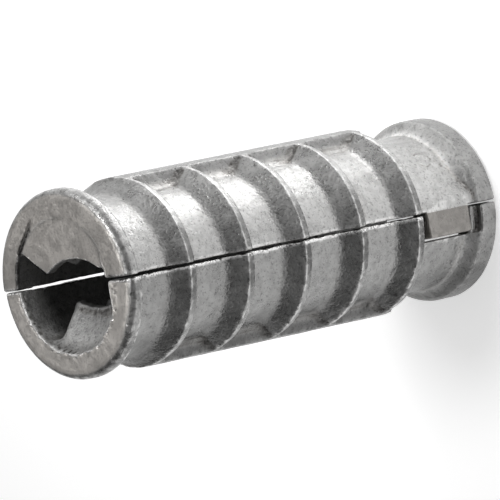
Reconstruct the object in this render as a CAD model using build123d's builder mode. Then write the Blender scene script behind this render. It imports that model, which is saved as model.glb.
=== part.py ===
from build123d import *

import math
import os

# The shield stands on the end where its halves join, with its tip on top. The tip goes into the hole first.
shield_length = 50.8

# Section, from the lag screw outwards
screw_radius = 6.35
entry_clearance = 0.25
bore_relief = 0.2
groove_wall = 1.2
rib_depth = 1.5
waist_wall = 1.2
collar_depth = 1.4
split_gap = 0.22

# Flange round the tip
flange_edge_bevel = 0.5
flange_crest_length = 1.05
flange_back_length = 0.55

# Outside ribs: each has a long slope towards the tip and a steep back
rib_count = 5
first_rib_from_tip = 8.25
rib_crest_width = 0.95
rib_crest_drop = 0.22
rib_slope_length = 1.75
rib_back_length = 0.55
groove_corner_bevel = 0.45

# Fin down the middle of each half, which joins the ribs
fin_width = 4.2
fin_draft = 0.35

# Collar round the joined end, and the waist above it, which flares out to flats beside the split
collar_crest_length = 2.3
collar_slope_length = 1.6
collar_edge_bevel = 0.25
waist_length = 5.95
flat_rise = 0.95
flat_half_height = 1.1

# Bore: round at the entry, then wider, with a side wall that closes in towards the tip
entry_bevel = 0.5
entry_past_waist = 0.55
bore_side_draft = 0.8

# Inner ribs: each has a crest that grips the screw, and a slope from there up to the wall of the bore
inner_rib_pitch = 4.23
inner_rib_crest_length = 1.1
inner_rib_slope_length = 2.4
inner_rib_recess = 0.2
inner_rib_stagger = 3.0
inner_rib_split_clearance = 1.2
inner_rib_cut_start = 2.25
right_rib_cut_angle = 36.5
left_rib_cut_angle = 65.0

# Screw channel through the inner ribs: it closes and drifts sideways towards the tip
channel_closing = 3.95
channel_drift = 1.5

# Tongue of each half, and the notch in the other half that it lies in
tongue_reach = 2.55
tongue_past_waist = 0.4
tongue_below_rib = 0.55
notch_room_below = 1.3
notch_room_above = 0.6
notch_room_deep = 0.45

# Sizes that follow
wall_overlap = 0.4
entry_radius = screw_radius + entry_clearance
bore_radius = entry_radius + bore_relief
groove_radius = bore_radius + groove_wall
crest_radius = groove_radius + rib_depth
waist_radius = entry_radius + waist_wall
collar_radius = waist_radius + collar_depth
flat_reach = waist_radius + flat_rise
outside = 2 * crest_radius

collar_top = collar_crest_length + collar_slope_length
waist_top = collar_top + waist_length
last_rib_top = waist_top + rib_back_length + rib_crest_width
rib_pitch = (shield_length - first_rib_from_tip - last_rib_top) / (rib_count - 1)
entry_length = waist_top + entry_past_waist
ribbed_length = shield_length - entry_length
tongue_bottom = collar_top - tongue_past_waist
tongue_top = waist_top - tongue_below_rib


def outside_outline():
    """Half section of the outside, from the joined end up to the tip, as radius and height."""
    points = [
        (0, 0),
        (collar_radius, 0),
        (collar_radius, collar_crest_length),
        (waist_radius, collar_top),
        (waist_radius, waist_top),
    ]
    for number in range(rib_count):
        crest_top = last_rib_top + number * rib_pitch
        if number > 0:
            points.append((groove_radius, crest_top - rib_crest_width - rib_back_length))
        points.append((crest_radius - rib_crest_drop, crest_top - rib_crest_width))
        points.append((crest_radius, crest_top))
        points.append((groove_radius, crest_top + rib_slope_length))
    flange_foot = shield_length - flange_edge_bevel - flange_crest_length
    points.append((groove_radius, flange_foot - flange_back_length))
    points.append((crest_radius, flange_foot))
    points.append((crest_radius, shield_length))
    points.append((0, shield_length))
    return points


def slope_feet():
    """Heights at which the slopes of the ribs and of the collar meet the groove or waist above them."""
    return [collar_top] + [last_rib_top + number * rib_pitch + rib_slope_length for number in range(rib_count)]


def fin_outline():
    """Half section of the fin across the shield: from the axis past the crests, wider at the groove."""
    wide = fin_width / 2 + fin_draft
    narrow = fin_width / 2 - fin_draft
    past_crest = crest_radius + rib_depth
    return [
        (0, -wide),
        (groove_radius, -wide),
        (past_crest, -narrow),
        (past_crest, narrow),
        (groove_radius, wide),
        (0, wide),
    ]


def inner_rib_outline(cut_angle):
    """Where an inner rib may be: clear of the split, and cut back on the +Y side at that angle to the split."""
    cut_rise = (outside - inner_rib_cut_start) * math.tan(math.radians(cut_angle))
    return [
        (inner_rib_split_clearance, -outside),
        (outside + cut_rise, -outside),
        (outside + cut_rise, outside),
        (inner_rib_split_clearance + cut_rise, outside),
        (inner_rib_split_clearance, inner_rib_cut_start),
    ]


def inner_ribs(first_crest, cut_angle):
    """The inner ribs of one half, each pierced by the screw channel where it stands at that height.

    first_crest is the depth of the first rib's crest below the tip. A slope that would pass the tip is cut off there.
    cut_angle is how steeply the ribs are cut back on the +Y side.
    """
    top_of_ribs = shield_length - inner_rib_recess
    rib_total = int((ribbed_length - first_crest - inner_rib_crest_length) / inner_rib_pitch) + 1
    with BuildPart() as ribs:
        for number in range(rib_total):
            crest_top = shield_length - first_crest - number * inner_rib_pitch
            crest_bottom = crest_top - inner_rib_crest_length
            slope_top = min(crest_top + inner_rib_slope_length, top_of_ribs)
            closed = (crest_top - entry_length) / ribbed_length
            reach = bore_radius + wall_overlap / 2 + closed * channel_closing - screw_radius
            with BuildSketch(Plane.XY.offset(crest_bottom)):
                Circle(bore_radius + wall_overlap)
                with BuildLine():
                    Polyline(*inner_rib_outline(cut_angle), close=True)
                make_face(mode=Mode.INTERSECT)
                with Locations((-closed * channel_closing, -closed * channel_drift)):
                    Circle(screw_radius, mode=Mode.SUBTRACT)
            extrude(amount=slope_top - crest_bottom)
            with Locations((-closed * channel_closing, -closed * channel_drift, crest_top)):
                Cone(
                    bottom_radius=screw_radius,
                    top_radius=screw_radius + reach,
                    height=inner_rib_slope_length,
                    align=(Align.CENTER, Align.CENTER, Align.MIN),
                    mode=Mode.SUBTRACT,
                )
    return ribs


def half_shell(ribs, tongue_side):
    """One casting, on the +X side of the split.

    tongue_side is the side in Y, 1 or -1, that has the tongue, and the notch is on the other one.
    """
    with BuildPart() as half:
        # Collar, ribs, grooves and flange, turned as one outline
        with BuildSketch(Plane.XZ) as section:
            with BuildLine():
                Polyline(*outside_outline(), close=True)
            make_face()
            chamfer(section.vertices().filter_by(lambda v: v.Z in slope_feet()), length=groove_corner_bevel)
            tip_corner = section.vertices().group_by(Axis.Z)[-1].sort_by(Axis.X)[-1]
            chamfer(tip_corner, length=flange_edge_bevel)
            collar_corner = section.vertices().group_by(Axis.Z)[0].sort_by(Axis.X)[-1]
            chamfer(collar_corner, length=collar_edge_bevel)
        revolve(axis=Axis.Z)

        # Waist, from the round to the flats beside the split
        with BuildSketch(Plane.XY.offset(collar_crest_length)):
            Circle(waist_radius)
            Rectangle(2 * flat_half_height, 2 * flat_reach)
            make_hull()
        extrude(amount=waist_top + rib_back_length - collar_crest_length)

        # Fin from the last rib to the first
        with BuildSketch(Plane.XY.offset(last_rib_top - rib_crest_width)):
            Circle(crest_radius)
            with BuildLine():
                Polyline(*fin_outline(), close=True)
            make_face(mode=Mode.INTERSECT)
        extrude(amount=(rib_count - 1) * rib_pitch + rib_crest_width)

        # Bore, with a bevel at its mouth
        add(bore.part, mode=Mode.SUBTRACT)
        mouth = half.edges().filter_by(GeomType.CIRCLE).group_by(Axis.Z)[0].sort_by(SortBy.RADIUS)[0]
        chamfer(mouth, length=entry_bevel)

        add(ribs.part)
        split(bisect_by=Plane.YZ.offset(split_gap / 2), keep=Keep.TOP)

        # Tongue across the split
        with BuildSketch(Plane.XY.offset(tongue_bottom)):
            with Locations(((wall_overlap - tongue_reach) / 2, tongue_side * flat_reach / 2)):
                Rectangle(wall_overlap + tongue_reach, flat_reach)
            Circle(entry_radius, mode=Mode.SUBTRACT)
        extrude(amount=tongue_top - tongue_bottom)

        # Notch for the tongue of the other half
        with BuildSketch(Plane.XY.offset(tongue_bottom - notch_room_below)):
            with Locations((0, -tongue_side * outside / 2)):
                Rectangle(2 * (tongue_reach + notch_room_deep), outside)
        extrude(amount=tongue_top - tongue_bottom + notch_room_below + notch_room_above, mode=Mode.SUBTRACT)
    return half


# The bore, as the solid that is taken out. Past the entry its -Y side closes in, as a slanted flat.
with BuildPart() as bore:
    with BuildSketch(Plane.XY.offset(entry_length)):
        Circle(bore_radius)
    extrude(amount=ribbed_length)
    slanted_side = Plane(
        origin=(0, -bore_radius, entry_length),
        x_dir=(1, 0, 0),
        z_dir=(0, ribbed_length, -bore_side_draft),
    )
    split(bisect_by=slanted_side, keep=Keep.TOP)
    with BuildSketch(Plane.XY):
        Circle(entry_radius)
    extrude(amount=entry_length)

# The half on the +X side, whose first inner rib is all but flush with the tip
right_half_shell = half_shell(inner_ribs(inner_rib_recess, right_rib_cut_angle), tongue_side=-1)
right_half_shell.part.label = "right_half_shell"

# The half on the -X side, whose inner ribs stand lower
left_ribs = inner_ribs(inner_rib_recess + inner_rib_stagger, left_rib_cut_angle)
with BuildPart() as left_half_shell:
    add(half_shell(left_ribs, tongue_side=1).part)
    mirror(about=Plane.YZ, mode=Mode.REPLACE)
left_half_shell.part.label = "left_half_shell"

os.makedirs("parts", exist_ok=True)
export_step(right_half_shell.part, "parts/right_half_shell.step")
export_step(left_half_shell.part, "parts/left_half_shell.step")
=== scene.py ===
import functools
import itertools
import math

import bpy
import numpy as np
import openvdb
from mathutils import Matrix, Vector


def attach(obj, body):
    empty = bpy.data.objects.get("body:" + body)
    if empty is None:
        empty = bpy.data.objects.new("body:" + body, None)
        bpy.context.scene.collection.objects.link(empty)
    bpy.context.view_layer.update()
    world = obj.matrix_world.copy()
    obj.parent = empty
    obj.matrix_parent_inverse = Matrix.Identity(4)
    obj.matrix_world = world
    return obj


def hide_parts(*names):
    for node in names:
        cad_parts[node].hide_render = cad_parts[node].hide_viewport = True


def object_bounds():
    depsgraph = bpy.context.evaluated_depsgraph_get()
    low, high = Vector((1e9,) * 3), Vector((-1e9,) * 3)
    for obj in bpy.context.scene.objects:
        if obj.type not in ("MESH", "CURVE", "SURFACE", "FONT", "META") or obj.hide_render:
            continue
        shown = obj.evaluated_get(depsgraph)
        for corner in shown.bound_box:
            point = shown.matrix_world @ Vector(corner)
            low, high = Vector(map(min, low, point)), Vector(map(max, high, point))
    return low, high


MM = 0.001

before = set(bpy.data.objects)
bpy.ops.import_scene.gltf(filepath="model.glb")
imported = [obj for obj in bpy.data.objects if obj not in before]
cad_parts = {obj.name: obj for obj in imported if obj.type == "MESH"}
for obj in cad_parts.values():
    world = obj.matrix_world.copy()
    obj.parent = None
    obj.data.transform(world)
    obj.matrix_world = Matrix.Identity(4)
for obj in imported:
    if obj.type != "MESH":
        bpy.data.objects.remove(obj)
cad_low, cad_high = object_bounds()

# Sizes of the castings, in millimetres. The main forms have the sizes of the solids.
shield_length = (cad_high.z - cad_low.z) / MM
screw_radius = 6.35
entry_radius = 6.6
bore_radius = 6.8
groove_radius = 8.0
crest_radius = 9.5
waist_radius = 7.8
collar_radius = 9.2
split_gap = 0.22

flange_edge_bevel = 0.5
flange_crest_length = 1.05
flange_back_length = 0.55
flange_length = flange_edge_bevel + flange_crest_length + flange_back_length

rib_count = 5
first_rib_from_tip = 8.25
rib_crest_width = 0.95
rib_crest_drop = 0.22
rib_slope_length = 1.75
rib_back_length = 0.55

fin_width = 4.2
fin_draft = 0.35

collar_crest_length = 2.3
collar_slope_start = 2.45
collar_slope_end = 3.35
collar_top = 3.9
collar_edge_bevel = 0.25
waist_top = 9.85
flat_reach = 8.75
flat_half_height = 1.1

entry_length = 10.4
entry_bevel = 0.5
bore_side_draft = 0.8

inner_rib_pitch = 4.23
inner_rib_crest_length = 1.1
inner_rib_back_length = 0.25
inner_rib_cut_start = 2.25
flush_rib_recess = 0.03
channel_closing = 3.95
channel_drift = 1.5

tongue_reach = 2.55
tongue_root = 1.0
tongue_bottom = 3.5
tongue_top = 9.3
notch_reach = 2.8
notch_bottom = 2.2
notch_top = 9.9
slot_floor_radius = 8.4
slot_floor_top = 3.1

last_rib_top = waist_top + rib_back_length + rib_crest_width
first_rib_top = shield_length - first_rib_from_tip
rib_pitch = (first_rib_top - last_rib_top) / (rib_count - 1)
rib_depth = crest_radius - groove_radius
ribbed_length = shield_length - entry_length

# Roundings of the cast edges
slope_foot_rounding = 0.5
collar_foot_rounding = 1.3
collar_crest_rounding = 0.5
crest_rounding = 0.08
edge_rounding = 0.16
split_rounding = 0.24
fin_foot_rounding = 0.6
flange_rounding = 0.4

# How the gap at the split varies: closer on the far side at the flange, wider near the tip on the near side
far_side_lip = 0.05
near_side_closing = 0.035
near_side_wear = 0.055
near_side_wear_start = 0.4 * shield_length

# What differs between the halves. The right half is the upper one in the photo. The left half's lower tone is
# painted shade on the same zinc, and the tones for the tip, collar, shade and mouth paint shade and light.
left_tip_drop = 0.2
HALVES = {
    "right_half_shell": dict(
        body="right_half", side=1, tongue_side=-1, tip=shield_length, seed=11,
        first_crest=0.1, slope_length=2.4, cut_angle=36.5, split_clearance=1.2,
        foot_rounding=0.5, cut_rounding=0.16, chips=0.07, lip_wear=0.35,
        tone=0.56, back_shade_tone=0.4, rim_tone=0.1, tones=dict(tip=1.0, collar=0.65, shade=0.9, mouth=1.0),
    ),
    "left_half_shell": dict(
        body="left_half", side=-1, tongue_side=1, tip=shield_length - left_tip_drop, seed=23,
        first_crest=3.2, slope_length=1.9, cut_angle=70.0, split_clearance=1.4,
        foot_rounding=1.1, cut_rounding=0.9, chips=0.2, lip_wear=1.0,
        tone=0.41, back_shade_tone=0.8, rim_tone=0.8, tones=dict(tip=1.65, collar=0.87, shade=0.66, mouth=2.8),
    ),
}

# Dents that the photo shows: x away from the split, y, z, reach and depth
DENTS = {
    "right_half_shell": [(4.4, -6.5, 4.2, 0.35, 0.07), (4.9, -6.1, 4.6, 0.22, 0.05)],
    "left_half_shell": [(9.62, -1.4, 35.5, 0.62, 0.3)],
}

# Dark stains that the photo shows, and three spots along the crack of the right half that paint its shade: x
# away from the split, y, z and reach
spot_core = 0.3
STAINS_AND_CRACK_SHADE = {
    "right_half_shell": [
        (9.14, -1.02, 35.3, 0.55), (9.14, -1.09, 19.7, 0.5), (8.5, -1.32, 18.9, 0.45),
        # The three at the tip's height lie along the crack and paint its shade
        (8.23, -1.11, 25.1, 0.4), (3.9, 5.6, 50.8, 0.22), (4.3, 5.35, 50.8, 0.2),
        (4.8, 5.1, 50.8, 0.16),
    ],
    "left_half_shell": [
        (8.07, -2.32, 13.8, 0.8), (8.08, -2.95, 10.9, 0.8), (7.39, -4.78, 11.8, 0.6),
        (8.26, -4.04, 23.1, 0.8), (8.62, -3.5, 32.6, 0.4), (8.68, -3.33, 41.4, 0.9),
        (7.88, -3.45, 34.7, 0.8), (9.03, -2.62, 37.0, 0.6),
    ],
}

# Moulding marks of the right half, and the crack beside its upper block
ejector_mark = (5.28, -5.74, 5.86)
ejector_mark_radius = 0.95
ejector_mark_width = 0.2
ejector_mark_depth = 0.035
gate_mark = (5.9, -0.6, shield_length)
gate_mark_squeeze = (2.2, 1, 1)
gate_mark_radius = 3.4
gate_mark_core = 0.6
gate_mark_depth = 0.02
crack_start = (4.2, 5.35)
crack_end = (7.0, 3.1)
crack_run_in = 1.0
crack_full_share = 0.6
crack_width = 0.4
crack_floor_width = 0.1
crack_depth = 0.4
crack_below_tip = (0.6, 0.5)

# Pits round the mouth of the left half
mouth_pits_offset = 0.1
mouth_pits_width = (0.1, 0.6)
mouth_pits_below_tip = (1.0, 0.4)
mouth_pits_depth = 0.1

# Random patterns in the skin: how far apart their bumps lie, and what is added to the half's seed
GRAINS = {
    "waves": (3.1, 0),
    "ripples": (0.9, 1),
    "chips": (0.5, 2),
    "mouth_pits": (0.34, 3),
    "gate_mark": (0.6, 4),
    "ejector_mark": (0.6, 5),
}
WAVE_DEPTHS = {"waves": 0.02, "ripples": 0.012}

# Where the traits of the surface come in, in millimetres from what they are named after
outside_bore = (0.3, 0.6)
below_tip_face = (0.15, 0.35)
below_lip = (0.5, 0.8)
below_mouth = (0.5, 5.0)
below_rim = (0.25, 0.5)
rim_width = (0.2, 0.45)
below_crest = (0.3, 0.45)
crest_start = (0.0, 0.1)
crest_end = (rib_crest_width - 0.2, rib_crest_width)
beside_back = (0.06, 0.16)
beside_split = (2.5, 5.5)
shaded_side = (5.2, 7.2)
fin_sides = (0.52 * fin_width, 0.62 * fin_width)
above_groove = (0.3, 0.8)
roll_run_in = 0.5
flange_start = first_rib_top + 1.0
flange_crest_share = 0.35

# Where traits come in by how sharply the skin turns, and by how far it faces the tip
edge_turn = (0.5, 1.6)
corner_turn = (0.3, 1.3)
facing_on_tip = (0.8, 0.95)
facing_on_slope = (0.3, 0.55)
facing_on_roll = (0.15, 0.5)
facing_on_ledge = (0.1, 0.4)
ledge_share = 0.35

# Random patterns in the metal: bumps a millimetre, detail and distortion
PATTERNS = {"speckle": (4.2, 3.0), "patches": (0.5, 5.0, 0.8), "blotches": (1.3, 4.0, 0.4)}
scuff_pattern = (2.4, 4.0)
scuff_stretch = (1.0, 1.0, 0.18)

# What the patterns do: a range of the pattern, and the range that it becomes
patch_tone = (0.3, 0.7, 0.86, 1.1)
blotch_tone = (0.35, 0.6, 0.88, 1.05)
speckle_tone = (0.3, 0.48, 0.62, 1.0)
scuff_corner_shade = (0.3, 0.6, 0.9, 0.35)
blotch_wear = (0.42, 0.6, 0.0, 0.7)
speckle_wear = (0.42, 0.54, 0.1, 1.0)
blotch_breaks = (0.4, 0.55, 0.3, 1.0)
blotch_spots = (0.38, 0.55, 0.25, 1.0)
patch_roughness = (0.3, 0.7, 0.27, 0.42)
speckle_roughness = (0.4, 0.6, -0.05, 0.05)

# What the distance past the split does, in the same way: it shows the tongue, and darkens what lies beside it
# as painted shade
tongue_share = (-0.02, 0.12, 1.0, 0.0)
split_shade = (0.0, 5.0, 0.92, 1.0)
split_edge_width = (0.3, 0.6)

# What is left of the tone where a trait is full, what traits add to the roughness, and where edges wear less.
# These tones paint shade on the slopes, crests, fin, bore and lip, paint light on the roll, and darken the
# tongue.
TRAIT_TONES = dict(slope=0.98, crest=0.42, fin=0.6, roll=1.9, bore=0.6, tongue=0.52, lip=0.6)
TRAIT_ROUGHNESS = dict(bore=0.2, tip=0.08, mouth=0.2, lip=0.2, roll=0.2)
DULL_TRAITS = ("bore", "tip", "fin", "tongue", "collar", "roll")

# Tones from 0 for black to 1 for white, shares that are left of mottle, tone and wear, and tints
smooth_mottle = 0.97
smooth_share = 0.6
# The corner tone is painted shade in the corners
corner_shade_tone = 0.3
# The worn tone is wear and painted highlight on the edges
wear_and_highlight_tone = 0.8
dull_wear = 0.2
crest_wear = 0.4
split_edge_tone = 0.95
stain_and_crack_shade_tone = 0.05
plain_tint = (1.0, 0.995, 0.985, 1)
warm_tint = (1.0, 0.955, 0.905, 1)
worn_roughness = 0.3

# Fine relief: weight of each pattern, depth in millimetres, and what is left of it on the tip face
RELIEF = dict(speckle=1.1, blotches=1.4, scuffs=0.5)
relief_depth = 0.055
tip_relief = 0.35


def along_axis(values, axis):
    """Values that change along one axis of the grid only."""
    return values.reshape([-1 if axis == other else 1 for other in range(3)])


# Grid that each half is worked out on: x goes away from the split, y and z are those of the frame
voxel = 0.13
margin = 0.5
grid_low = (-tongue_reach - margin, -crest_radius - margin, -margin)
grid_high = (crest_radius + margin, crest_radius + margin, shield_length + margin)
grid_counts = [int((high - low) / voxel) + 1 for low, high in zip(grid_low, grid_high)]
x, y, z = (
    along_axis(low + voxel * np.arange(count, dtype=np.float32), axis)
    for axis, (low, count) in enumerate(zip(grid_low, grid_counts))
)
radius = np.sqrt(x**2 + y**2)
short_of_end = 0.001
spare_grains = 3
most_triangles = 190000


def round_max(first, second, rounding):
    """The larger of two fields, with the edge between them rounded off."""
    share = np.clip(0.5 + (first - second) / (2 * rounding), 0, 1)
    return second + share * (first - second) + rounding * share * (1 - share)


def round_min(first, second, rounding):
    """The smaller of two fields, with the corner between them filled."""
    return -round_max(-first, -second, rounding)


def smooth_step(share):
    """A share between 0 and 1, eased at both ends."""
    return share * share * (3 - 2 * share)


def rise(values, low, high):
    """0 below low, 1 above high, and a smooth rise between them."""
    return smooth_step(np.clip((values - low) / (high - low), 0, 1))


def fall(values, low, high):
    """1 below low, 0 above high, and a smooth fall between them."""
    return rise(-values, -high, -low)


def distance(place, squeeze=(1, 1, 1)):
    """How far the points of the grid are from a place. A squeeze above 1 makes a direction count for more."""
    return np.sqrt(sum((line - middle) ** 2 * more for line, middle, more in zip((x, y, z), place, squeeze)))


def grain(name, half):
    """Smooth random values between -1 and 1 on the grid."""
    spacing, seed_step = GRAINS[name]
    lattice = [int(count * voxel / spacing) + spare_grains for count in grid_counts]
    values = np.random.default_rng(half["seed"] + seed_step).uniform(-1, 1, lattice).astype(np.float32)
    for axis, count in enumerate(grid_counts):
        place = np.arange(count, dtype=np.float32) * voxel / spacing
        low = place.astype(int)
        part = along_axis(smooth_step(place - low), axis)
        values = np.take(values, low, axis=axis) * (1 - part) + np.take(values, low + 1, axis=axis) * part
    return values


def sloped(profile):
    """How far a step in radius counts across a profile that changes with height."""
    return 1 / np.sqrt(1 + np.gradient(profile[0, 0], voxel) ** 2).reshape(1, 1, -1)


def outside_profile(tip):
    """Radius of the outside at each height: collar, waist, ribs and flange."""
    floor = np.where(z < last_rib_top, waist_radius, groove_radius).astype(np.float32)
    collar_slope = (collar_radius - waist_radius) / (collar_slope_end - collar_slope_start)
    collar = np.minimum(collar_radius, collar_radius - collar_edge_bevel + z)
    collar = round_min(collar, collar_radius - (z - collar_slope_start) * collar_slope, collar_crest_rounding)
    profile = round_max(floor, collar, collar_foot_rounding)
    for number in range(rib_count):
        past_crest = z - last_rib_top - number * rib_pitch
        slope = crest_radius - past_crest * rib_depth / rib_slope_length
        crest = crest_radius + past_crest * rib_crest_drop / rib_crest_width
        before_crest = past_crest + rib_crest_width
        back = crest_radius - rib_crest_drop + before_crest * (rib_depth - rib_crest_drop) / rib_back_length
        rib = round_min(round_min(slope, crest, crest_rounding), back, crest_rounding)
        profile = round_max(profile, rib, slope_foot_rounding)
    flange_foot = tip - flange_edge_bevel - flange_crest_length
    flange = crest_radius + (z - flange_foot) * rib_depth / flange_back_length
    flange = round_min(flange, crest_radius, crest_rounding)
    flange = round_min(flange, crest_radius - (z - tip + flange_edge_bevel), flange_rounding)
    return round_max(profile, flange, edge_rounding)


def fin():
    """Fin down the middle of the half, from the last rib to the first."""
    half_width = fin_width / 2 + fin_draft * (crest_radius - radius) / rib_depth
    across = np.abs(y) - half_width
    block = round_max(across, radius - crest_radius, edge_rounding)
    block = np.maximum(block, last_rib_top - rib_crest_width - z)
    return np.maximum(block, z - first_rib_top)


def waist():
    """Waist, whose round runs out along tangents to flats beside the split."""
    corner_distance = math.hypot(flat_half_height, flat_reach)
    tangent = math.atan2(flat_half_height, flat_reach) + math.acos(waist_radius / corner_distance)
    angle = np.arctan2(np.maximum(x, 0), np.abs(y))
    run_out = x * math.sin(tangent) + np.abs(y) * math.cos(tangent) - waist_radius
    flats = round_max(run_out, np.abs(y) - flat_reach, edge_rounding)
    section = np.where(angle < tangent, flats, radius - waist_radius)
    return np.maximum(np.maximum(section, collar_crest_length - z), z - waist_top - rib_back_length)


def inner_ribs(half):
    """The inner ribs of a half, as a field that is negative inside them."""
    first_top = shield_length - half["first_crest"]
    number = np.maximum(np.floor((first_top + half["slope_length"] - z) / inner_rib_pitch), 0)
    crest_top = first_top - number * inner_rib_pitch
    closed = (crest_top - entry_length) / ribbed_length
    past_crest = z - crest_top
    wall_reach = bore_radius + closed * channel_closing - screw_radius
    slope = past_crest * wall_reach / half["slope_length"]
    back = (-inner_rib_crest_length - past_crest) * wall_reach / inner_rib_back_length
    opening = screw_radius + round_max(np.maximum(back, 0), slope, crest_rounding)
    from_channel = np.sqrt((x + closed * channel_closing) ** 2 + (y + closed * channel_drift) ** 2)
    ribs = (opening - from_channel) * sloped(opening)
    in_from_split = x - half["split_clearance"]
    cut_angle = math.radians(half["cut_angle"])
    cut = (y - inner_rib_cut_start) * math.sin(cut_angle) - in_from_split * math.cos(cut_angle)
    ribs = round_max(ribs, round_max(-in_from_split, cut, edge_rounding), half["cut_rounding"])
    ribs = np.maximum(ribs, z - shield_length + flush_rib_recess)
    return np.where(crest_top - inner_rib_crest_length > entry_length, ribs, margin)


def bore(half):
    """The open inside of a half, as a field that is negative where it is open."""
    up = np.clip((z - entry_length) / ribbed_length, 0, 1)
    ribbed = round_max(radius - bore_radius, -y - bore_radius + up * bore_side_draft, edge_rounding)
    open_ribs = round_max(ribbed, -inner_ribs(half), half["foot_rounding"])
    entry = np.maximum(radius - entry_radius, z - entry_length)
    mouth = radius - entry_radius - entry_bevel + z
    return np.minimum(np.minimum(np.maximum(open_ribs, entry_length - z), entry), mouth)


def block(low_corner, high_corner):
    """A box between two corners, with rounded edges."""
    sides = [
        np.maximum(low - line, line - high)
        for low, high, line in zip(low_corner, high_corner, (x, y, z))
    ]
    return round_max(round_max(sides[0], sides[1], edge_rounding), sides[2], edge_rounding)


def tongue(half):
    """Tongue that reaches across the split."""
    edges = sorted((0, half["tongue_side"] * flat_reach))
    shape = block((-tongue_reach, edges[0], tongue_bottom), (tongue_root, edges[1], tongue_top))
    return np.maximum(shape, entry_radius - radius)


def notch(half):
    """Notch that the other half's tongue lies in, with a floor below the tongue."""
    edges = sorted((0, -half["tongue_side"] * 2 * crest_radius))
    deep = block((-2 * notch_reach, edges[0], slot_floor_top), (notch_reach, edges[1], notch_top))
    slot = block((-2 * notch_reach, edges[0], notch_bottom), (notch_reach, edges[1], notch_top))
    return np.minimum(deep, np.maximum(slot, slot_floor_radius - radius))


def moulding_marks(half):
    """Depth of the ring that an ejector pin left, and of the rough patch at the gate."""
    from_ring = np.abs(distance(ejector_mark) - ejector_mark_radius)
    ring = ejector_mark_depth * fall(from_ring, 0, ejector_mark_width) * (1 + grain("ejector_mark", half))
    from_gate = distance(gate_mark, gate_mark_squeeze)
    patch = gate_mark_depth * fall(from_gate, gate_mark_core * gate_mark_radius, gate_mark_radius)
    return ring, patch * grain("gate_mark", half)


def crack(half):
    """Depth of the crack in the tip face, which thins out towards its end."""
    length = math.dist(crack_start, crack_end)
    run_x, run_y = [(end - start) / length for start, end in zip(crack_start, crack_end)]
    along = (x - crack_start[0]) * run_x + (y - crack_start[1]) * run_y
    aside = np.abs((x - crack_start[0]) * run_y - (y - crack_start[1]) * run_x)
    bottom, full = [half["tip"] - below for below in crack_below_tip]
    across = fall(aside, crack_floor_width / 2, crack_width / 2) * rise(z, bottom, full)
    return crack_depth * across * fall(along, crack_full_share * length, length) * (along > -crack_run_in)


def mouth_pits(half):
    """Depth of the pits round the mouth of the bore."""
    from_edge = np.abs(radius - bore_radius - mouth_pits_offset)
    bottom, full = [half["tip"] - below for below in mouth_pits_below_tip]
    share = fall(from_edge, *mouth_pits_width) * rise(z, bottom, full)
    return mouth_pits_depth * share * grain("mouth_pits", half)


def unevenness(node, half):
    """How far the cast skin lies below its true form."""
    low = sum(depth * (1 + grain(name, half)) for name, depth in WAVE_DEPTHS.items())
    for *place, reach, depth in DENTS[node]:
        low += depth * fall(distance(place), 0, reach)
    marks = [*moulding_marks(half), crack(half)] if half["side"] > 0 else [mouth_pits(half)]
    for mark in marks:
        low += mark
    return low


def casting(node, half):
    """The field of a whole half: negative in the metal, in millimetres from its skin."""
    profile = outside_profile(half["tip"])
    outside = (radius - profile) * sloped(profile)
    outside = round_min(outside, fin(), fin_foot_rounding)
    outside = round_min(outside, waist(), edge_rounding)
    outside = np.maximum(outside, radius - crest_radius)
    outside = round_max(outside, z - half["tip"], flange_rounding)
    body = round_max(outside, -bore(half), edge_rounding) + unevenness(node, half)
    near = (near_side_wear * rise(z, near_side_wear_start, shield_length) - near_side_closing) * (y < 0)
    far = far_side_lip * (y > 0) * (z > half["tip"] - flange_length)
    chips = half["chips"] * np.maximum(grain("chips", half), 0)
    body = round_max(body, split_gap / 2 + chips + near - far - x, split_rounding)
    body = np.minimum(body, tongue(half))
    body = round_max(body, -notch(half), edge_rounding)
    return np.maximum(body, -z)


def skin(field):
    """Vertices in millimetres and four-sided faces of the surface where the field is zero."""
    band = 2 * voxel
    grid = openvdb.FloatGrid(band)
    grid.copyFromArray(np.clip(field, -band, band).astype(np.float32))
    points, _, faces = grid.convertToPolygons(isovalue=0.0, adaptivity=0.0)
    return points * voxel + np.array(grid_low, dtype=np.float32), faces.astype(np.int32)


def at_points(values, points):
    """Values of a grid at the points, blended between the grid's places."""
    place = np.clip((points - grid_low) / voxel, 0, np.array(grid_counts) - 1 - short_of_end)
    low = place.astype(int)
    part = place - low
    blended = np.zeros(len(points), dtype=np.float32)
    for corner in itertools.product((0, 1), repeat=3):
        weight = np.prod(np.where(corner, part, 1 - part), axis=1)
        blended += weight * values[tuple((low + corner).T)]
    return blended


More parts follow.
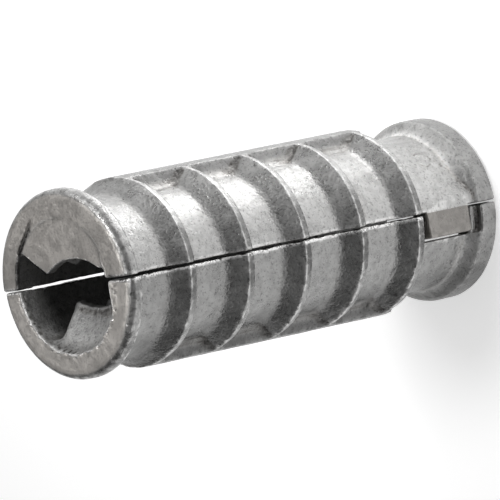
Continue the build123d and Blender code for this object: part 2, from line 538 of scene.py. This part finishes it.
def surface_traits(node, half, field, points):
    """What the material needs to know at each point: its form, how the skin turns there, where it paints
    shade and light, and stains and the shade of the crack.
    """
    bend = sum(np.gradient(np.gradient(field, voxel, axis=axis), voxel, axis=axis) for axis in range(3))
    turn = at_points(bend, points)
    facing_tip = at_points(np.gradient(field, voxel, axis=2), points)
    from_split, across, height = points.T
    from_axis = np.hypot(from_split, across)
    below_tip = half["tip"] - height

    outside = rise(from_axis - bore_radius, *outside_bore)
    on_tip = fall(below_tip, *below_tip_face) * rise(facing_tip, *facing_on_tip)
    outer_side = outside * (1 - on_tip)
    inner_side = (1 - outside) * (1 - on_tip)
    near_split = fall(from_split, *beside_split)

    # Crests and backs of the ribs and of the flange: the material paints shade on the crests near the split
    # and a dark line at each back
    on_flange = height > flange_start
    past_rib_back = height - last_rib_top + rib_crest_width + rib_pitch / 2
    past_rib_back = np.mod(past_rib_back, rib_pitch) - rib_pitch / 2
    past_back = np.where(on_flange, flange_length - flange_back_length - below_tip, past_rib_back)
    high = fall(crest_radius - from_axis, *below_crest) * (height > waist_top)
    crest = rise(past_back, *crest_start) * fall(past_back, *crest_end) * high * near_split
    # The fin, whose top the material darkens as painted shade and wears less
    on_fin = fall(np.abs(across), *fin_sides) * (height < first_rib_top)
    on_fin = on_fin * rise(height, waist_top, last_rib_top) * rise(from_axis - groove_radius, *above_groove)

    on_roll = rise(height, collar_slope_start - roll_run_in, collar_slope_start) * (height < waist_top)
    in_mouth = fall(below_tip, *below_mouth) * (1 - ledge_share * rise(facing_tip, *facing_on_ledge))
    # Stains, and painted shade along the crack
    stains_and_crack_shade = np.zeros(len(points), dtype=np.float32)
    for *place, reach in STAINS_AND_CRACK_SHADE[node]:
        away = np.linalg.norm(points - place, axis=1)
        stains_and_crack_shade = np.maximum(stains_and_crack_shade, fall(away, spot_core * reach, reach))
    return {
        "edge": rise(turn, *edge_turn),
        "corner": rise(-turn, *corner_turn),
        # Slopes facing the tip, darkened slightly as painted shade
        "slope": rise(facing_tip, *facing_on_slope) * outer_side * (height > waist_top),
        "crest": crest * np.where(on_flange, flange_crest_share, 1.0),
        # The lip by the split at the tip, darkened as painted shade
        "lip": fall(below_tip, *below_lip) * outer_side * near_split,
        "fin": on_fin,
        "back": fall(np.abs(past_back), *beside_back) * high * (1 - on_fin),
        # The collar is darkened and its roll lightened in the material, as painted shade and painted light
        "collar": fall(height, collar_slope_start, collar_top),
        "roll": rise(facing_tip, *facing_on_roll) * on_roll,
        "shade": rise(from_split, *shaded_side) * outer_side,
        # The mouth and the bore: the material lightens the left half's mouth as painted light and darkens the
        # bore as painted shade
        "mouth": in_mouth * inner_side,
        "rim": fall(np.abs(from_axis - bore_radius), *rim_width) * fall(below_tip, *below_rim),
        "tip": on_tip,
        "bore": inner_side,
        "stain_and_crack_shade": stains_and_crack_shade,
    }


def mesh_object(name, points, faces):
    """A smooth-shaded object of these vertices and faces."""
    mesh = bpy.data.meshes.new(name)
    mesh.vertices.add(len(points))
    mesh.vertices.foreach_set("co", points.astype(np.float32).ravel())
    mesh.loops.add(faces.size)
    mesh.loops.foreach_set("vertex_index", faces.ravel())
    mesh.polygons.add(len(faces))
    mesh.polygons.foreach_set("loop_start", np.arange(0, faces.size, faces.shape[1], dtype=np.int32))
    mesh.polygons.foreach_set("use_smooth", np.ones(len(faces), dtype=bool))
    mesh.update(calc_edges=True)
    mesh.validate()
    made = bpy.data.objects.new(name, mesh)
    bpy.context.scene.collection.objects.link(made)
    return made


def fewer_faces(made, most):
    """Gives the object a mesh with at most that many triangles, thinned where it is flattest."""
    triangles = 2 * len(made.data.polygons)
    if triangles > most:
        thinner = made.modifiers.new("thinner", "DECIMATE")
        thinner.ratio = most / triangles
        dense = made.data
        graph = bpy.context.evaluated_depsgraph_get()
        made.data = bpy.data.meshes.new_from_object(made.evaluated_get(graph))
        made.modifiers.clear()
        bpy.data.meshes.remove(dense)


def half_piece(node, half):
    """Makes the finished casting that stands for a half's node."""
    field = casting(node, half)
    points, faces = skin(field)
    mirrored = np.array([half["side"], 1, 1], dtype=np.float32)
    if half["side"] < 0:
        faces = np.ascontiguousarray(faces[:, ::-1])
    piece = mesh_object(node.replace("_shell", "_casting"), points * mirrored * MM, faces)
    fewer_faces(piece, most_triangles)
    kept = np.empty(3 * len(piece.data.vertices), dtype=np.float32)
    piece.data.vertices.foreach_get("co", kept)
    kept = kept.reshape(-1, 3) * mirrored / MM
    traits = surface_traits(node, half, field, kept)
    for name, values in traits.items():
        trait = piece.data.attributes.new(name, "FLOAT", "POINT")
        trait.data.foreach_set("value", values.astype(np.float32))
    piece.data.materials.append(cast_zinc(node.replace("_shell", "_zinc"), half, traits))
    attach(piece, half["body"])
    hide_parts(node)


class Nodes:
    """Short ways to add the nodes of one material or world."""

    def __init__(self, tree):
        self.tree = tree

    def feed(self, node, inputs):
        """Sets inputs of a node. Each is a value, or another node's socket to link from."""
        for name, value in inputs.items():
            if isinstance(value, bpy.types.NodeSocket):
                self.tree.links.new(value, node.inputs[name])
            else:
                node.inputs[name].default_value = value
        return node

    def add(self, kind, inputs, **settings):
        """Adds a node with these inputs and settings."""
        made = self.tree.nodes.new(kind)
        for name, value in settings.items():
            setattr(made, name, value)
        return self.feed(made, inputs)

    def math(self, operation, *values):
        """The sum, product, largest or other result of two or more numbers."""
        def pair(first, second):
            return self.add("ShaderNodeMath", {0: first, 1: second}, operation=operation).outputs[0]
        return functools.reduce(pair, values)

    def spread(self, value, low, high, to_low, to_high):
        """A number carried smoothly from one range to another."""
        inputs = {"Value": value, "From Min": low, "From Max": high, "To Min": to_low, "To Max": to_high}
        return self.add("ShaderNodeMapRange", inputs, interpolation_type="SMOOTHSTEP").outputs["Result"]

    def scaled(self, value, share, at_full):
        """A number that stays where the share is 0, and is multiplied by at_full where it is 1."""
        return self.math("MULTIPLY", value, self.spread(share, 0.0, 1.0, 1.0, at_full))

    def blend(self, share, first, second):
        """A number between two others."""
        return self.add("ShaderNodeMix", {"Factor": share, "A": first, "B": second}).outputs["Result"]

    def noise(self, place, per_mm, detail, distortion=0.0):
        """Soft random values about 0.5, with so many bumps a millimetre."""
        inputs = {"Vector": place, "Scale": per_mm, "Detail": detail, "Distortion": distortion}
        return self.add("ShaderNodeTexNoise", inputs).outputs["Fac"]

    def trait(self, name):
        """A value that the mesh carries at each vertex."""
        return self.add("ShaderNodeAttribute", {}, attribute_name=name).outputs["Fac"]


def cast_zinc(name, half, traits):
    """As-cast zinc: mottled bright skin, with painted shade in the bore, corners and crests and painted light
    at the mouth and roll, and edges worn bright with painted highlights.
    """
    material = bpy.data.materials.new(name)
    material.use_nodes = True
    nodes = Nodes(material.node_tree)
    coordinates = nodes.add("ShaderNodeTexCoord", {}).outputs["Object"]
    in_mm = {"Vector": coordinates, "Location": (half["seed"], 0, 0), "Scale": (1 / MM, 1 / MM, 1 / MM)}
    place = nodes.add("ShaderNodeMapping", in_mm).outputs["Vector"]
    stretched = nodes.add("ShaderNodeMapping", {"Vector": place, "Scale": scuff_stretch}).outputs["Vector"]
    pattern = {kind: nodes.noise(place, *sizes) for kind, sizes in PATTERNS.items()}
    pattern["scuffs"] = nodes.noise(stretched, *scuff_pattern)

    across_split = nodes.add("ShaderNodeSeparateXYZ", {"Vector": coordinates}).outputs["X"]
    past_split = nodes.math("MULTIPLY", across_split, half["side"] / MM)
    on = {trait: nodes.trait(trait) for trait in traits}
    on["tongue"] = nodes.spread(past_split, *tongue_share)
    # Painted shade in the corners, broken up by the scuffs and tinted warm
    corner_shade = nodes.math("MULTIPLY", on["corner"], nodes.spread(pattern["scuffs"], *scuff_corner_shade))
    dull = nodes.math("MAXIMUM", *(on[trait] for trait in DULL_TRAITS))
    # Edges worn bright, which also paints their highlights; less near the split and on dull parts
    wear_and_highlight = nodes.math("MULTIPLY", on["edge"], nodes.spread(pattern["blotches"], *blotch_wear))
    wear_and_highlight = nodes.scaled(wear_and_highlight, dull, dull_wear)
    wear_and_highlight = nodes.scaled(wear_and_highlight, nodes.math("MAXIMUM", on["crest"], on["lip"]), crest_wear)
    beside_lip = nodes.spread(past_split, *split_edge_width, half["lip_wear"], 0.0)
    split_edge = nodes.math("MULTIPLY", on["edge"], beside_lip)
    split_edge = nodes.math("MULTIPLY", split_edge, nodes.spread(pattern["speckle"], *speckle_wear))
    split_edge = nodes.scaled(split_edge, dull, 0.0)
    breaks = nodes.spread(pattern["blotches"], *blotch_breaks)
    broken_rim = nodes.math("MULTIPLY", on["rim"], on["edge"], breaks)
    stain_and_crack_shade_share = nodes.math("MULTIPLY", on["stain_and_crack_shade"], nodes.spread(pattern["blotches"], *blotch_spots))

    smooth = nodes.math("MULTIPLY", nodes.math("MAXIMUM", on["tip"], on["tongue"]), smooth_share)
    mottle = nodes.math(
        "MULTIPLY",
        nodes.spread(pattern["patches"], *patch_tone),
        nodes.spread(pattern["blotches"], *blotch_tone),
        nodes.spread(pattern["speckle"], *speckle_tone),
    )
    # The half's tone: the left half's is lower as painted shade
    tone = nodes.math("MULTIPLY", half["tone"], nodes.blend(smooth, mottle, smooth_mottle))
    # Painted shade beside the split
    tone = nodes.math("MULTIPLY", tone, nodes.spread(past_split, *split_shade))
    # Painted shade and light of the traits, and the tongue's darker tone
    for trait, at_full in {**TRAIT_TONES, **half["tones"]}.items():
        tone = nodes.scaled(tone, on[trait], at_full)
    # Painted shade in the corners
    tone = nodes.scaled(tone, corner_shade, corner_shade_tone)
    tone = nodes.blend(wear_and_highlight, tone, wear_and_highlight_tone)
    tone = nodes.blend(split_edge, tone, split_edge_tone)
    # Painted shade: a dark line along the back of each crest
    tone = nodes.scaled(tone, on["back"], half["back_shade_tone"])
    tone = nodes.blend(broken_rim, tone, half["rim_tone"])
    # Stains, and painted shade along the crack
    tone = nodes.blend(stain_and_crack_shade_share, tone, stain_and_crack_shade_tone)

    warm = nodes.math("MAXIMUM", on["tip"], corner_shade, on["tongue"])
    tint = nodes.add("ShaderNodeMix", {"A": plain_tint, "B": warm_tint, "Factor": warm}, data_type="RGBA")
    colour = nodes.add("ShaderNodeVectorMath", {0: tint.outputs["Result"], "Scale": tone}, operation="SCALE")

    rough = nodes.spread(pattern["patches"], *patch_roughness)
    rough = nodes.math("ADD", rough, nodes.spread(pattern["speckle"], *speckle_roughness))
    for trait, more in TRAIT_ROUGHNESS.items():
        rough = nodes.math("ADD", rough, nodes.spread(on[trait], 0.0, 1.0, 0.0, more))

    weighted = [nodes.math("MULTIPLY", pattern[kind], weight) for kind, weight in RELIEF.items()]
    relief = nodes.scaled(nodes.math("ADD", *weighted), on["tip"], tip_relief)
    bump = nodes.add("ShaderNodeBump", {"Height": relief, "Strength": 1.0, "Distance": relief_depth * MM})
    nodes.feed(material.node_tree.nodes["Principled BSDF"], {
        "Base Color": colour.outputs["Vector"],
        "Metallic": 1.0,
        "Roughness": nodes.blend(wear_and_highlight, rough, worn_roughness),
        "Normal": bump.outputs["Normal"],
    })
    return material


for node, half in HALVES.items():
    half_piece(node, half)

# Camera: the photo's long lens, looking down on the standing shield and rolled so that its tip points left
camera_azimuth = math.radians(2.86)
camera_elevation = math.radians(42.42)
camera_back = Vector((
    math.sin(camera_azimuth) * math.cos(camera_elevation),
    -math.cos(camera_azimuth) * math.cos(camera_elevation),
    math.sin(camera_elevation),
))
camera_place = Vector((36.2, -731.5, 695.0)) * MM
camera_up = Vector((0.9843, -0.0897, -0.1517))
camera_lens = 719.9
sensor_width = 36.0
nearest_seen = 0.01
farthest_seen = 100.0

camera_data = bpy.data.cameras.new("camera")
camera_data.lens = camera_lens
camera_data.sensor_width = sensor_width
camera_data.clip_start = nearest_seen
camera_data.clip_end = farthest_seen
camera = bpy.data.objects.new("camera", camera_data)
bpy.context.scene.collection.objects.link(camera)
right = camera_up.cross(camera_back).normalized()
up = camera_back.cross(right).normalized()
axes = Matrix((right, up, camera_back)).transposed().to_4x4()
camera.matrix_world = Matrix.Translation(camera_place) @ axes
bpy.context.scene.camera = camera

# Floor: large and pale, and white where it is seen
floor_size = 8.0
floor_glow = 0.55
floor_colour = (0.86, 0.86, 0.86, 1)
white = (1, 1, 1, 1)

floor_mesh = bpy.data.meshes.new("floor")
corners = [(-1, -1), (1, -1), (1, 1), (-1, 1)]
floor_mesh.from_pydata([(a * floor_size / 2, b * floor_size / 2, 0) for a, b in corners], [], [(0, 1, 2, 3)])
floor = bpy.data.objects.new("floor", floor_mesh)
bpy.context.scene.collection.objects.link(floor)

floor_material = bpy.data.materials.new("floor")
floor_material.use_nodes = True
floor_tree = floor_material.node_tree
floor_tree.nodes.remove(floor_tree.nodes["Principled BSDF"])
nodes = Nodes(floor_tree)
rays = nodes.add("ShaderNodeLightPath", {}).outputs
seen = nodes.math("MAXIMUM", rays["Is Camera Ray"], rays["Is Glossy Ray"], rays["Is Transmission Ray"])
glow = nodes.add("ShaderNodeEmission", {"Color": white, "Strength": nodes.math("MULTIPLY", seen, floor_glow)})
paint = nodes.add("ShaderNodeBsdfDiffuse", {"Color": floor_colour})
both = nodes.add("ShaderNodeAddShader", {0: glow.outputs["Emission"], 1: paint.outputs["BSDF"]})
nodes.feed(floor_tree.nodes["Material Output"], {"Surface": both.outputs["Shader"]})
floor_mesh.materials.append(floor_material)

# World: a dim room with a pale wall behind and a brighter one on the right, as direction, strength and focus
WALLS = [((0.0, 0.74, 0.67), 0.12, 2.0), ((0.95, 0.15, 0.28), 0.36, 2.0)]
dim_room = 0.17
world = bpy.data.worlds.new("world")
world.use_nodes = True
nodes = Nodes(world.node_tree)
direction = nodes.add("ShaderNodeTexCoord", {}).outputs["Generated"]
light = dim_room
for towards, strength, focus in WALLS:
    along = nodes.add("ShaderNodeVectorMath", {0: direction, 1: towards}, operation="DOT_PRODUCT")
    lobe = nodes.math("POWER", nodes.math("MAXIMUM", along.outputs["Value"], 0.0), focus)
    light = nodes.math("ADD", light, nodes.math("MULTIPLY", lobe, strength))
nodes.feed(world.node_tree.nodes["Background"], {"Color": white, "Strength": light})
bpy.context.scene.world = world
bpy.context.scene.view_settings.view_transform = "Standard"

# Lamps overhead, over the floor at the right, and far out at the right: place, target, power, cone and size
LAMPS = {
    "key": ((60, 10, 300), (42, 18, 0), 2.2, 40, 45),
    "patch": ((75, -10, 220), (49, -5, 0), 6.6, 13, 10),
    "rim": ((320, 40, 255), (0, 0, 25), 0.35, 30, 30),
}
for name, (place, target, power, cone, size) in LAMPS.items():
    lamp = bpy.data.lights.new(name, "SPOT")
    lamp.energy = power
    lamp.spot_size = math.radians(cone)
    lamp.spot_blend = 1.0
    lamp.shadow_soft_size = size * MM
    lamp_object = bpy.data.objects.new(name, lamp)
    lamp_object.location = Vector(place) * MM
    lamp_object.rotation_euler = (Vector(place) - Vector(target)).to_track_quat("Z", "Y").to_euler()
    bpy.context.scene.collection.objects.link(lamp_object)
